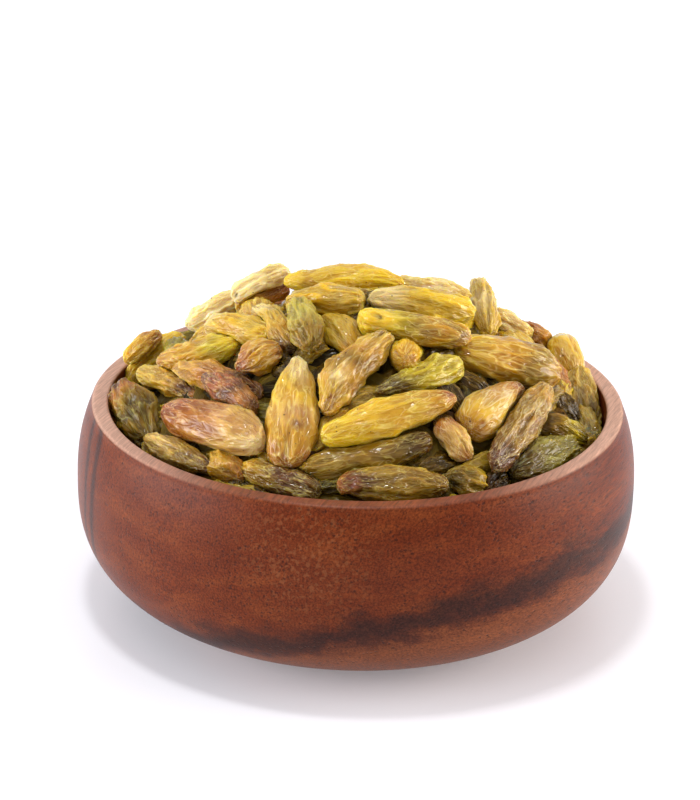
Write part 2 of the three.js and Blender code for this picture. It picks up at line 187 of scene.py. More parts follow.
REACH = 3.0  # metres each way
floor_mesh = bpy.data.meshes.new("white_sweep")
floor_mesh.from_pydata([(x * REACH, y * REACH, 0) for x, y in ((-1, -1), (1, -1), (1, 1), (-1, 1))], [],
                       [(0, 1, 2, 3)])
floor_mesh.materials.append(principled("coated_white_sweep", lambda node: {
    "Base Color": linear("e8e8ed"), "Roughness": 0.32, "Specular IOR Level": 0.35,
    "Emission Color": linear("f4f3f8"), "Emission Strength": 0.19}))
floor = linked("white_sweep", floor_mesh)
print("floor reaches", REACH, "m each way")


# %% [markdown]
# ## The bowl
#
# On the real bowl this shape comes off a lathe: one outline turned about the axis, so its surface is that
# of a shape with a rule.  It could be a Screw modifier or a subdivided cylinder, but an outline of named
# sizes that a geometry tree turns is closest to how it is made, and keeps the small rounding at the rim
# and the shallow rings under the foot.

# %% The outline's sizes, in millimetres
BELLY_RADIUS, BELLY_HEIGHT = 51.0, 24.0
RIM_HEIGHT, RIM_OUTER, RIM_INNER = 38.8, 48.1, 45.3
RIM_ROUNDING = {"outer": 0.8, "inner": 0.5}
FOOT_RADIUS, FLOOR_TOP, INNER_FLOOR = 23.8, 7.0, 20.0
FOOT_RINGS = [(7.0, 0.25), (15.0, 0.3), (21.5, 0.2)]  # radius and depth of the turning marks underneath


def outer_radius(z):
    if z <= BELLY_HEIGHT:
        under = (BELLY_HEIGHT - z) / BELLY_HEIGHT
        return FOOT_RADIUS + (BELLY_RADIUS - FOOT_RADIUS) * (1 - under**2.72) ** (1 / 1.9)
    over = (z - BELLY_HEIGHT) / (RIM_HEIGHT - BELLY_HEIGHT)
    return BELLY_RADIUS - (BELLY_RADIUS - RIM_OUTER) * over**2.45


def inner_radius(z):
    under = min(max((BELLY_HEIGHT - z) / (BELLY_HEIGHT - FLOOR_TOP), 0), 1)
    return INNER_FLOOR + (RIM_INNER - INNER_FLOOR) * (1 - under**2.4) ** 0.5


# %% The outline, from the middle of the foot round to the middle of the inside floor
def bowl_outline():
    points = [(0.0, 0.0)]
    for radius, depth in FOOT_RINGS:
        points += [(radius - 0.9, 0), (radius - 0.4, depth), (radius + 0.4, depth), (radius + 0.9, 0)]
    points += [(FOOT_RADIUS - 0.3, 0), (outer_radius(0.03), 0.04)]
    outer, inner = RIM_ROUNDING["outer"], RIM_ROUNDING["inner"]
    outside = [*BELLY_HEIGHT * (1 - np.cos(np.linspace(0.12, math.pi / 2, 40))),
               *np.linspace(BELLY_HEIGHT + 0.6, RIM_HEIGHT - outer, 22)]
    points += [(outer_radius(z), z) for z in outside]
    edge = outer_radius(RIM_HEIGHT - outer)
    points += [(edge - outer * (1 - math.cos(turn)), RIM_HEIGHT - outer * (1 - math.sin(turn)))
               for turn in np.radians(np.linspace(10, 90, 7))]
    points += [(r, RIM_HEIGHT) for r in np.linspace(edge - outer - 0.3, RIM_INNER + inner + 0.2, 4)]
    points += [(RIM_INNER + inner * (1 - math.cos(turn)), RIM_HEIGHT - inner * (1 - math.sin(turn)))
               for turn in np.radians(np.linspace(90, 0, 6))]
    depth = BELLY_HEIGHT - FLOOR_TOP
    inside = [*np.linspace(37.4, BELLY_HEIGHT, 10), *FLOOR_TOP + depth * np.cos(np.linspace(0.1, math.pi / 2, 24))]
    points += [(inner_radius(z), z) for z in inside]
    return points + [(r, FLOOR_TOP) for r in (15, 9, 3, 0)]


outline = bowl_outline()
print(len(outline), "points on the bowl's outline")


# %% Make a geometry tree, run it and keep the plain mesh
def geometry_tree(name, sockets, build):
    """sockets: kind and any default by input name; build takes the helper and the inputs, returns geometry."""
    tree = bpy.data.node_groups.new(name, "GeometryNodeTree")
    ids = {}
    for label, (kind, *default) in sockets.items():
        made = tree.interface.new_socket(label, in_out="INPUT", socket_type="NodeSocket" + kind)
        if default:
            made.default_value = default[0]
        ids[label] = made.identifier
    tree.interface.new_socket("Result", in_out="OUTPUT", socket_type="NodeSocketGeometry")
    node = partial(add, tree)
    given = node("NodeGroupInput", read=None)
    smooth = node("GeometryNodeSetShadeSmooth", [build(node, given)])
    real = node("GeometryNodeRealizeInstances", [smooth])
    node("NodeGroupOutput", [node("GeometryNodeSetMaterial", {0: real, "Material": given["Finish"]})], None)
    print(name + ":", len(tree.nodes), "nodes")
    return tree, ids


def run_trees(jobs):
    """jobs: object, (tree, ids), values by input name.  Each object's mesh becomes the tree's result."""
    for piece, (tree, ids), values in jobs:
        modifier = piece.modifiers.new("shape", "NODES")
        modifier.node_group = tree
        for name, value in values.items():
            modifier[ids[name]] = value
    graph = bpy.context.evaluated_depsgraph_get()
    graph.update()
    results = [bpy.data.meshes.new_from_object(piece.evaluated_get(graph), preserve_all_data_layers=True,
                                               depsgraph=graph) for piece, *_ in jobs]
    for (piece, *_), mesh in zip(jobs, results):
        piece.modifiers.clear()
        piece.data = mesh


def triangles(*pieces):
    return sum(len(face.vertices) - 2 for piece in pieces for face in piece.data.polygons)


# %% The tree that turns an outline about Z
def turned(node, given):
    steps = node("GeometryNodeAttributeDomainSize", [given["Outline"]], component="MESH")
    rows = node("Math:ADD", [given["Sides"], 1])
    grid = node("GeometryNodeMeshGrid", {"Vertices X": steps, "Vertices Y": rows})
    index = node("GeometryNodeInputIndex")
    step = node("Math:FLOOR", [node("Math:DIVIDE", [index, rows])])
    share = node("Math:DIVIDE", [node("Math:MODULO", [index, rows]), given["Sides"]])
    angle = node("Math:MULTIPLY", [share, 2 * math.pi])
    here = node("GeometryNodeInputPosition")
    on_line = node("GeometryNodeSampleIndex", {0: given["Outline"], "Value": here, "Index": step},
                   data_type="FLOAT_VECTOR")
    around = node("VectorRotate", {"Vector": on_line, "Angle": angle}, rotation_type="Z_AXIS")
    noise = node("TexNoise", {"Vector": around, "W": given["Seed"], "Scale": 14, "Detail": 1},
                 noise_dimensions="4D")
    wobble = node("Math:MULTIPLY", [node("Math:SUBTRACT", [noise, 0.5]), given["Hand wobble"]])
    sideways = node("VectorMath:MULTIPLY", [around, (1, 1, 0)])
    outwards = node("VectorMath:SCALE", {0: sideways, "Scale": wobble})
    place = node("VectorMath:ADD", [around, outwards])
    placed = node("GeometryNodeSetPosition", {"Geometry": grid, "Position": place})
    return node("GeometryNodeMergeByDistance", {"Geometry": placed, "Distance": 0.02 * MM})


lathe = geometry_tree("Turned on a lathe", {
    "Outline": ["Geometry"], "Sides": ["Int", 160], "Hand wobble": ["Float", 0.0], "Seed": ["Float", 1.0],
    "Finish": ["Material"]}, turned)


# %% [markdown]
# ## Oiled acacia
#
# Acacia is a reddish brown hardwood with open pores, darker growth rings and now and then a nearly black
# vein of heartwood.  A bowl is cut across all of these, so the grain is a solid pattern in space: the pores
# are needles along the trunk, and read as dots where they come out of the wood and as dashes where they lie
# along it.  A picture wrapped round the bowl would not do that.  Everything below is laid out in
# millimetres along the fibres, across them and up.  The oil leaves a low satin gloss, and the rim, cut
# straight across by the lathe, is painted paler, partly for its end grain and partly as painted sheen.

# %% Wood grain sizes, in millimetres
FIBRE_AZIMUTH = math.radians(68.8)  # the trunk ran from the front left to the back right
VEIN_SLOPE = 0.245  # the dark vein climbs to the right
VEIN_MIDDLE, VEIN_HALF = 11.0, 2.9
STEEP_RINGS = [(36.5, 0.7), (39.8, 0.45)]  # place and width of two thin dark lines at the left
FLECKED_AT = (-8.0, -50.0, 31.0)  # under the rim, left of the middle
PORE_SPACING, PORE_LENGTH, PORE_SIZE = 0.7, 3.6, 0.15  # real pores are 0.1 to 0.3 mm wide


# %% Round spots, for pores and specks
def spots(node, where, left_out, biggest):
    """How far inside a spot a place is.  Spots lie about one unit apart; left_out is the share without one."""
    cells = node("TexVoronoi", {"Vector": where, "Scale": 1}, None)
    chosen = node("SeparateColor", [cells["Color"]])
    size = node("MapRange", [chosen, left_out, 1, 0, biggest])
    return node("Math:SUBTRACT", [size, cells["Distance"]])


# %% The wood's material: satin, deep red brown, with fine dark dots and dashes
def acacia(node):
    mm = node("VectorMath:SCALE", {0: node("TexCoord", read="Object"), "Scale": 1 / MM})
    grain = node("Mapping", {"Vector": mm, "Rotation": (0, 0, -FIBRE_AZIMUTH)})

    # Wood is never straight: a slow bend in its growth rings
    slow = node("TexNoise", {"Vector": grain, "Scale": 0.045, "Detail": 2}, "Color")
    bend = node("VectorMath:SUBTRACT", [slow, (0.5, 0.5, 0.5)])
    bent = node("VectorMath:MULTIPLY_ADD", [bend, (5, 7, 7), grain])

    # Four noises, longer along the fibres: growth rings, the vein's ragged edge, fibres 0.4 mm wide, flecks
    noises = []
    for where, stretch, detail, roughness in ((bent, (0.02, 0.11, 0.3), 3, 0.5),
                                              (grain, (0.07, 0.16, 0.3), 7, 0.64),
                                              (grain, (0.22, 2.8, 2.8), 6, 0.68),
                                              (grain, (0.5, 1.25, 1.25), 2, 0.5)):
        at = node("VectorMath:MULTIPLY", [where, stretch])
        noises.append(node("TexNoise", {"Vector": at, "Scale": 1, "Detail": detail, "Roughness": roughness}))
    streaks, ragged, fine, flecks = noises
    colour = node("ValToRGB", [streaks])
    stops = colour.node.color_ramp.elements
    stops[0].position, stops[0].color = 0.22, linear("5f240a")
    stops[1].position, stops[1].color = 0.8, linear("7c3b18")
    stops.new(0.5).color = linear("6a2c0f")

    # The dark vein of heartwood climbs to the right, with lighter wood under it
    across = node("VectorMath:DOT_PRODUCT", [bent, (0, VEIN_SLOPE, 1)], "Value")
    height = node("Math:ADD", [across, node("Math:MULTIPLY_ADD", [ragged, 12, -6])])
    off = node("Math:SUBTRACT", [height, VEIN_MIDDLE])
    under = node("MapRange", [off, -VEIN_HALF * 0.4, -VEIN_HALF * 1.8, 0, 0.42], **SMOOTH)
    vein = node("MapRange", [node("Math:ABSOLUTE", [off]), VEIN_HALF * 1.9, VEIN_HALF * 0.1, 0, 0.86], **SMOOTH)
    for share, stain in ((under, "8a502c"), (vein, "2c1511")):
        colour = node("Mix", {0: share, 6: colour, 7: linear(stain)}, 2, **RGBA)

    # Fibres and the tissue between them: dots on end grain, dashes on side grain
    shade = node("MapRange", [fine, 0.34, 0.66, 0.42, 1.44])
    colour = node("VectorMath:SCALE", {0: colour, "Scale": shade})

    # Over them paler flecks 1 mm wide in a patch, two rings that come out steeply, and the pores
    pale = node("MapRange", [flecks, 0.5, 0.66, 0, 0.4], **SMOOTH)
    from_patch = node("VectorMath:DISTANCE", [mm, FLECKED_AT], "Value")
    patch = node("MapRange", [from_patch, 5, 16, 1, 0.12], **SMOOTH)
    stains = [(node("Math:MULTIPLY", [pale, patch]), "8e5532")]
    along = node("SeparateXYZ", [bent], "Y")
    for place, width in STEEP_RINGS:
        gap = node("Math:ABSOLUTE", [node("Math:SUBTRACT", [along, place])])
        stains.append((node("MapRange", [gap, width * 2, width * 0.3, 0, 0.78], **SMOOTH), "2e1712"))
    needles = (1 / PORE_LENGTH, 1 / PORE_SPACING, 1 / PORE_SPACING)
    inside = spots(node, node("VectorMath:MULTIPLY", [grain, needles]), 0.25, PORE_SIZE / PORE_SPACING * 1.6)
    pore = node("MapRange", [inside, -0.06, 0.06, 0, 1], **SMOOTH)
    stains.append((node("Math:MULTIPLY", [pore, 0.5]), "220e08"))
    for share, stain in stains:
        colour = node("Mix", {0: share, 6: colour, 7: linear(stain)}, 2, **RGBA)

    # The rim's flat face is cut clean by the tool and painted paler, partly for its end grain and partly as painted
    # sheen, more so towards both sides
    parts = node("SeparateXYZ", [mm], None)
    on_rim = node("MapRange", [parts["Z"], RIM_HEIGHT - 0.5, RIM_HEIGHT - 0.1, 0, 1], **SMOOTH)
    more_at_sides = node("MapRange", [node("Math:ABSOLUTE", [parts["X"]]), 18, 46, 0.08, 0.85], **SMOOTH)
    rim_shade = node("MapRange", [fine, 0.3, 0.7, 0.62, 1.22])
    rim_paleness_and_sheen = node("VectorMath:SCALE", {0: linear("cfa38c")[:3], "Scale": rim_shade})
    colour = node("Mix", {0: node("Math:MULTIPLY", [on_rim, more_at_sides]), 6: colour, 7: rim_paleness_and_sheen}, 2, **RGBA)

    # The oil fills most pores, so the relief is slight
    relief = node("Math:SUBTRACT", [fine, pore])
    return {"Base Color": colour, "Roughness": node("MapRange", [fine, 0, 1, 0.3, 0.46]),
            "Normal": node("Bump", {"Strength": 0.35, "Distance": 0.12 * MM, "Height": relief}),
            "IOR": 1.5, "Specular IOR Level": 0.14}


wood = principled("acacia_turned_and_oiled", acacia)
print("wood nodes:", len(wood.node_tree.nodes))

# %% Turn the bowl
outline_mesh = bpy.data.meshes.new("bowl_outline")
outline_mesh.from_pydata([(r * MM, 0, z * MM) for r, z in outline],
                         [(i, i + 1) for i in range(len(outline) - 1)], [])
bowl = linked("turned_bowl", outline_mesh)
run_trees([(bowl, lathe, {"Sides": 180, "Hand wobble": 0.004, "Seed": 3.0, "Finish": wood})])


def face_outwards(piece):
    shape = bmesh.new()
    shape.from_mesh(piece.data)
    bmesh.ops.recalc_face_normals(shape, faces=shape.faces)
    shape.to_mesh(piece.data)
    shape.free()


face_outwards(bowl)
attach(bowl, "root")
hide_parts("wooden_bowl")
print("bowl:", triangles(bowl), "triangles")


# %% [markdown]
# ## Raisins: their form
#
# A raisin is a grape whose flesh has shrunk inside its skin.  The long, seedless grapes of this kind dry to
# a flattened spindle with lengthwise folds, blunt puckered ends and dents where its neighbours press on it.
# Each solid of the frame already has one raisin's place, length, bend and dents, but in a few flat faces.
# Sculpting fifty of them by hand would lose that, and a smoothed copy would have no folds.  So each solid is
# read as rings of distances from its own spine, the distances are smoothed, and a fine closed skin is laid
# over them with two coordinates, along and around, that folds and colours can follow.

# %% Read a solid: its long axis, spine and distances
READ_RINGS, READ_SIDES = 26, 32  # how finely a solid is read


def merged_shape(node):
    shape = bmesh.new()
    shape.from_mesh(node.data)
    bmesh.ops.remove_doubles(shape, verts=shape.verts, dist=0.001 * MM)
    bmesh.ops.triangulate(shape, faces=shape.faces)
    return shape


def long_axis(corners):
    """Middle and long direction of a solid's surface; corners is triangles x 3 points."""
    middles = corners.mean(axis=1)
    areas = np.linalg.norm(np.cross(corners[:, 1] - corners[:, 0], corners[:, 2] - corners[:, 0]), axis=1)
    middle = (middles * areas[:, None]).sum(axis=0) / areas.sum()
    spread = (middles - middle) * np.sqrt(areas)[:, None]
    return middle, np.linalg.eigh(spread.T @ spread)[1][:, -1]


def section_centre(corners, origin, normal, side, up):
    """Area centre of the cut through a closed solid, from the edges that cross the plane, or the origin."""
    heights = (corners - origin) @ normal
    area, moment = 0.0, np.zeros(2)
    for points, h in zip(corners, heights):
        if (h > 0).all() or (h <= 0).all():
            continue
        ends = []
        for a, b in ((0, 1), (1, 2), (2, 0)):
            if (h[a] > 0) != (h[b] > 0):
                share = h[a] / (h[a] - h[b])
                crossing = points[a] + (points[b] - points[a]) * share - origin
                ends.append((h[a] > 0, np.array([crossing @ side, crossing @ up])))
        ends.sort(key=lambda end: end[0])
        (_, p), (_, q) = ends
        cross = p[0] * q[1] - p[1] * q[0]
        area += cross / 2
        moment += (p + q) * cross / 6
    return origin + (moment[0] / area) * side + (moment[1] / area) * up if abs(area) > 1e-12 else origin


def smoothed(values, widths):
    """Gaussian smoothing of a field: clamped ends along the first axis, a closed ring along the second."""
    for axis, width in enumerate(widths):
        cells = int(3 * width) + 1
        kernel = np.exp(-0.5 * (np.arange(-cells, cells + 1) / width) ** 2)
        kernel /= kernel.sum()
        pad = [(0, 0)] * values.ndim
        pad[axis] = (cells, cells)
        padded = np.pad(values, pad, mode="wrap" if axis == 1 else "edge")
        values = sum(k * np.take(padded, range(i, i + values.shape[axis]), axis=axis)
                     for i, k in enumerate(kernel))
    return values


def eased(count, early=0.5):
    """Shares from 0 to 1 that lie closer at both ends; early is how soon the first one comes."""
    return 0.5 - 0.5 * np.cos(np.pi * (np.arange(count) + early) / (count - 1 + 2 * early))


def read_solid(node, facing):
    """Spine points, frame and ring distances of a raisin; facing is the direction its upper side looks."""
    shape = merged_shape(node)
    tree = BVHTree.FromBMesh(shape)
    corners = np.array([[v.co for v in face.verts] for face in shape.faces])
    shape.free()
    middle, axis = long_axis(corners)
    if axis @ (np.array(view_right) - 0.3 * np.array(view_up)) < 0:
        axis = -axis
    up = np.array(facing) - axis * (np.array(facing) @ axis)
    up /= np.linalg.norm(up)
    side = np.cross(up, axis)
    reaches = (corners.reshape(-1, 3) - middle) @ axis
    low, length = reaches.min(), reaches.max() - reaches.min()
    shares = eased(READ_RINGS)
    spine = np.array([section_centre(corners, middle + axis * (low + length * share), axis, side, up)
                      for share in shares])
    spine = smoothed(spine, (1.6,))
    radii = np.zeros((READ_RINGS, READ_SIDES))
    for i, centre in enumerate(spine):
        for j in range(READ_SIDES):
            angle = 2 * np.pi * j / READ_SIDES
            outward = side * math.cos(angle) + up * math.sin(angle)
            hit = tree.ray_cast(Vector(centre + outward * 20 * MM), Vector(-outward), 21 * MM)[0]
            radii[i, j] = max((np.array(hit) - centre) @ outward, 0.2 * MM) if hit else 0.2 * MM
    tips = [spine[0] - axis * (shares[0] * length), spine[-1] + axis * ((1 - shares[-1]) * length)]
    return {"shares": shares, "spine": spine, "radii": radii, "side": side, "up": up, "tips": tips,
            "length": length}


test = read_solid(nodes["raisin_01_bright"], -look)
print("first raisin:", round(test["length"] / MM, 1), "mm long,", round(2 * test["radii"].max() / MM, 1), "mm wide")

# %% [markdown]
# ## Raisins: a closed skin over the form
#
# The skin is a ring-by-ring mesh from tip to tip.  Its rings lie closer at the tips, where a raisin turns
# in quickly and its folds run together.  Each point keeps its place on the skin as a vector: the cosine and
# sine of its way around, and its way along in units of the raisin's own radius.  A noise read there has no
# seam, stretches along the raisin, and gathers at the tips as real wrinkles do.

# %% A draw that depends on two numbers only
ROUND = 6.28  # a full turn, for phases that are drawn


def scatter(index, stream):
    value = math.sin(index * 127.1 + stream * 311.7) * 43758.5453
    return value - math.floor(value)


# %% Lumps and furrows: where the flesh has shrunk, the skin sinks in along the raisin
LUMPS = [(1, 1.2, 0.05), (2, 0.7, 0.05), (2, 2.1, 0.04), (3, 1.4, 0.035), (3, 3.0, 0.03)]  # around, along, size
FURROWS = 4


def shrunken(seed, along, around, strength):
    """Shares of the radius to take or add, on a grid of ways along by ways around."""
    t, a = along[:, None], around[None, :]
    change = np.zeros((len(along), len(around)))
    for k, (turns, waves, size) in enumerate(LUMPS):
        phase, drift = ROUND * scatter(seed, 40 + k), ROUND * scatter(seed, 50 + k)
        change += size * np.cos(turns * a + phase) * np.cos(ROUND * waves * t / 2 + drift)
    for k in range(FURROWS):
        place = ROUND * scatter(seed, 60 + k)
        wander = 0.5 * np.sin(3.1 * t + ROUND * scatter(seed, 70 + k)) + 0.16 * np.sin(9 * t + 4 * k)
        width = 0.16 + 0.14 * scatter(seed, 80 + k)
        off = np.angle(np.exp(1j * (a - place - wander)))
        middle, reach = 0.25 + 0.5 * scatter(seed, 90 + k), 0.22 + 0.25 * scatter(seed, 95 + k)
        depth = (0.07 + 0.1 * scatter(seed, 85 + k)) * np.exp(-(((t - middle) / reach) ** 2))
        change -= depth * (np.exp(-((off / width) ** 2)) - 0.4 * np.exp(-((off / (2.6 * width)) ** 2)))
    return 1 + strength * change


# %% Lay the skin's points
BLUNT, TIP_REACH = 0.34, 0.06  # how much fuller the tips are than the frame's pointed solids, and how far in
PLUMP = 1.035  # a polygon lies inside the round form that it stands for


def rounds(sides):
    return 2 * np.pi * np.arange(sides) / sides


def skin_points(form, rings, sides, seed, folds=1.0, taper=(1, 1)):
    """Points, faces and fields of one raisin's skin from its spine and distances."""
    along, around = eased(rings, 0.6), rounds(sides)
    read = smoothed(form["radii"], (1.1, 1.5))
    cells = around / (2 * np.pi) * READ_SIDES
    left = np.floor(cells).astype(int)
    share = (cells - left)[None, :]
    ring_wise = read[:, left % READ_SIDES] * (1 - share) + read[:, (left + 1) % READ_SIDES] * share
    radii = np.array([np.interp(along, form["shares"], ring_wise[:, j]) for j in range(sides)]).T
    radii = smoothed(radii, (rings / READ_RINGS, sides / READ_SIDES))
    near_tip = np.exp(-along / TIP_REACH) + np.exp(-(1 - along) / TIP_REACH)
    radii = radii * PLUMP * (1 + BLUNT * near_tip[:, None]) * shrunken(seed, along, around, folds)
    narrow = np.interp(along, (0, 0.55, 1), (taper[0], 1, 1)) * np.interp(along, (0, 0.45, 1), (1, 1, taper[1]))
    radii = radii * narrow[:, None]
    spine = np.array([np.interp(along, form["shares"], form["spine"][:, k]) for k in range(3)]).T
    spine = smoothed(spine, (rings / 20,))
    outward = np.cos(around)[:, None] * form["side"] + np.sin(around)[:, None] * form["up"]
    points = spine[:, None, :] + radii[:, :, None] * outward[None, :, :]
    typical = radii.mean()
    girth = np.clip(radii / typical, 0, 1) ** 0.6
    wide = np.clip(radii.mean(axis=1) / typical, 0, 1)[:, None] ** 0.75
    long, start = form["length"] / typical, 17 * seed
    place = np.stack([wide * np.cos(around), wide * np.sin(around),
                      np.repeat((along * long)[:, None] + start, sides, axis=1)], axis=2)
    return {"points": np.vstack([points.reshape(-1, 3), form["tips"]]),
            "place": np.vstack([place.reshape(-1, 3), [[0, 0, start], [0, 0, long + start]]]),
            "amount": np.append((folds * girth).ravel(), [0, 0]),
            "along": np.append(np.repeat(along, sides), [0, 1]),
            "around": np.append(np.tile(around, rings), [0, 0]),
            "faces": skin_faces(rings, sides)}


def skin_faces(rings, sides):
    faces = []
    for start in range(0, (rings - 1) * sides, sides):
        for j in range(sides):
            a, b = start + j, start + (j + 1) % sides
            faces.append((a, b, b + sides, a + sides))
    first, last, end = rings * sides, rings * sides + 1, (rings - 1) * sides
    for j in range(sides):
        faces += [(first, (j + 1) % sides, j), (last, end + j, end + (j + 1) % sides)]
    return faces


# %% [markdown]
# ## Raisins: colours of a drying skin
#
# Raisins of one harvest differ: green ones dried in the shade, golden ones with more sun, amber and rust
# where the skin was bruised or where the stalk sat.  A palette of named skin colours is all that is needed.
# Each raisin is a short run of them from its left tip to its right one, and a few have a bruise or a pit.

# %% Skin colours and runs of them
PALETTE = {
    "lemon": "dcb61c", "gold": "d4a81e", "honey": "bc8a18", "amber": "a0621a", "rust": "8e4818",
    "plum": "682e1e", "umber": "5c3008", "straw": "c49e2e", "cream": "dcc284", "ivory": "ead8a4",
    "beige": "cca456", "pink": "b47e48", "lime": "b49e18", "olive": "8e6a12", "moss": "543c06",
    "green": "7c6c10", "sage": "b29e42", "deep": "2c1802",
}
RUNS = {  # for a raisin that has none of its own below, by its colour word
    "bright": "lemon lemon gold", "gold": "gold straw honey", "olive": "olive straw olive",
    # The dark run is partly painted shade: most raisins that take it lie deep in the gaps
    "dark": "deep moss deep", "green": "moss green sage", "amber": "rust amber honey",
    "beige": "honey beige straw", "pale": "straw cream straw",
}
OWN_RUNS = {  # raisin number: skin colours from the left tip to the right one
    1: "lemon lemon gold gold straw honey rust", 2: "cream cream straw gold beige honey honey amber",
    3: "rust rust amber amber pink beige beige cream", 4: "gold straw honey honey olive olive honey",
    5: "umber umber olive olive olive olive honey olive", 6: "honey gold straw beige honey amber umber",
    7: "honey straw honey olive honey straw olive", 8: "lemon lemon lime olive honey olive honey",
    9: "cream cream straw lemon lemon lemon lemon", 10: "lemon straw lemon lemon lemon",
    11: "sage sage sage olive olive", 12: "straw straw gold gold straw straw", 13: "amber honey honey lime lemon",
    14: "umber amber olive moss olive moss", 15: "plum plum rust rust umber amber umber",
    16: "rust amber honey honey amber", 17: "cream straw gold straw gold", 18: "lemon lemon gold honey",
    19: "cream straw cream straw straw", 20: "moss moss lime lime lime lime",
    21: "rust umber olive olive olive olive umber", 22: "cream gold straw gold",
    23: "umber amber beige beige amber", 24: "moss moss green green green", 25: "lemon gold gold lemon",
    26: "straw honey amber rust", 27: "cream straw honey umber", 28: "ivory ivory cream cream",
    29: "ivory ivory cream ivory", 30: "beige honey amber umber umber", 31: "straw straw honey umber amber",
    32: "beige beige olive umber", 33: "honey olive umber umber moss", 34: "olive olive olive olive moss umber",
    36: "straw straw honey", 37: "straw olive moss", 38: "honey moss olive lime moss", 39: "olive honey amber",
    # Raisins 49 and 50 lie deep in gaps; their near-black runs are partly painted shade
    40: "moss olive straw", 41: "gold honey amber", 49: "moss moss deep deep", 50: "umber deep deep",
}
MARKS = {  # raisin number: along, way around from the side that faces us in degrees, size mm, depth mm, colour
    1: [(0.97, 20, 2.4, 0.5, "rust"), (0.22, -30, 0.7, 0.1, "honey")],
    2: [(0.6, 8, 3.0, 0.5, "pink"), (0.72, 16, 2.2, 0.2, "plum"), (0.34, 0, 1.8, 0.45, "honey")],
    3: [(0.22, -25, 2.4, 0.4, "rust"), (0.62, -20, 1.6, 0.3, "pink")],
    4: [(0.06, 0, 1.6, 0.3, "amber")], 5: [(0.5, -30, 1.5, 0.2, "amber")], 6: [(0.05, -20, 1.9, 0.2, "rust")],
    7: [(0.3, 24, 3.2, -0.45, "cream"), (0.12, 0, 1.6, 0.3, "rust")], 8: [(0.13, 15, 1.5, 0.8, "umber")],
    14: [(0.08, 0, 2.0, 0.2, "umber"), (0.5, 20, 2.2, 0.5, "moss"), (0.72, -20, 2.4, 0.5, "moss")],
    15: [(0.15, 0, 2.0, 0.5, "plum"), (0.55, -30, 1.6, 0.6, "umber")], 18: [(0.1, 40, 0.6, 0.2, "umber")],
    21: [(0.12, 10, 2.4, 0.2, "plum")], 29: [(0.05, 0, 1.5, 0.5, "umber")], 31: [(0.8, 10, 2.4, 0.6, "plum")],
}
TAPERS = {1: (0.9, 0.85), 2: (0.68, 0.95), 3: (0.85, 1.05), 5: (0.95, 0.8), 6: (1.0, 0.8), 7: (1.0, 0.8),
          9: (0.85, 1.0), 10: (0.8, 0.85), 12: (0.8, 1.0), 15: (0.7, 1.05), 16: (1.0, 0.8), 20: (0.65, 1.0),
          21: (0.8, 0.9), 23: (1.0, 0.7), 31: (1.0, 0.8), 32: (0.8, 0.8)}  # width at the left and right tip
FOLDS = {1: 0.75, 2: 0.7, 3: 0.6, 5: 1.25, 6: 0.5, 7: 1.25, 10: 0.7, 11: 1.4, 14: 1.7, 16: 1.1,
         18: 0.9, 19: 1.3, 22: 0.6, 24: 1.6, 36: 0.7, 37: 1.3, 40: 1.4}  # 1 where none is given


def run_colours(run, along, around, seed):
    """Linear colours along a run, with borders that wander."""
    names = run.split()
    wander = along + 0.05 * np.sin(2 * around + seed) + 0.04 * np.sin(3 * around + 2.3 * seed + 9 * along)
    places = np.linspace(0, 1, len(names))
    colours = np.array([linear(PALETTE[name])[:3] for name in names])
    return np.array([np.interp(wander, places, colours[:, k]) for k in range(3)]).T


# %% Bruises, pits and stalk scars
def mark_skin(skin, colours, marks):
    """Presses each mark into the points and colours it; the side that faces us is a quarter way around."""
    points = skin["points"]
    for along, turn, size, depth, colour in marks:
        off = np.angle(np.exp(1j * (skin["around"][:-2] - np.radians(90 - turn))))
        centre = points[int(np.argmin(np.abs(skin["along"][:-2] - along) * 3 + np.abs(off)))]
        distance = np.linalg.norm(points - centre, axis=1) / (size * MM / 2)
        inward = points.mean(axis=0) - centre
        inward /= np.linalg.norm(inward)
        points += inward * (depth * MM) * np.exp(-((distance / 0.6) ** 2))[:, None]
        share = 0.85 * np.exp(-((distance / 0.9) ** 2))
        colours += (np.array(linear(PALETTE[colour])[:3]) - colours) * share[:, None]


# %% Make one mesh from the skins of one or more raisins
def write_fields(mesh, **fields):
    """Writes vectors, numbers or colours, one for each point, as attributes."""
    kinds = {"place": ("FLOAT_VECTOR", "vector"), "tint": ("FLOAT_COLOR", "color")}
    for name, values in fields.items():
        kind, key = kinds.get(name, ("FLOAT", "value"))
        if name == "tint":
            values = np.hstack([values, np.ones((len(values), 1))])
        mesh.attributes.new(name, kind, "POINT").data.foreach_set(key, values.astype(np.float32).ravel())


def skin_object(name, skins, colours):
    mesh = bpy.data.meshes.new(name)
    faces, start = [], 0
    for skin in skins:
        faces += [tuple(start + corner for corner in face) for face in skin["faces"]]
        start += len(skin["points"])
    mesh.from_pydata(np.vstack([s["points"] for s in skins]).tolist(), [], faces)
    write_fields(mesh, place=np.vstack([s["place"] for s in skins]),
                 amount=np.concatenate([s["amount"] for s in skins]), tint=np.vstack(colours))
    return linked(name, mesh)


# %% [markdown]
# ## Raisins: folds as a geometry tree
#
# A wrinkle is a line where the skin stands up between two sunken valleys.  A smooth noise crosses its own
# middle value along such lines, so one minus the distance to that middle gives sharp crests and wide, soft
# valleys.  Two of these, stretched along the raisin, make the long folds and the finer ones between them,
# a third, hardly stretched one the crinkles, and a slow noise the lumps.  The long crests and the fine ones
# are kept as fields, because the skin's colour is painted darker in the valleys, as shade, and pales along
# the fine crests.

# %% The tree that folds a skin
def off_middle(node, where, detail, distortion, seed=None):
    """How far a noise is from its middle value: nought along wandering lines, as wrinkles run."""
    inputs = {"Vector": where, "Scale": 1, "Detail": detail, "Distortion": distortion}
    if seed is None:
        noise = node("TexNoise", inputs)
    else:
        noise = node("TexNoise", {**inputs, "W": seed}, noise_dimensions="4D")
    return node("Math:ABSOLUTE", [node("Math:SUBTRACT", [noise, 0.5])])


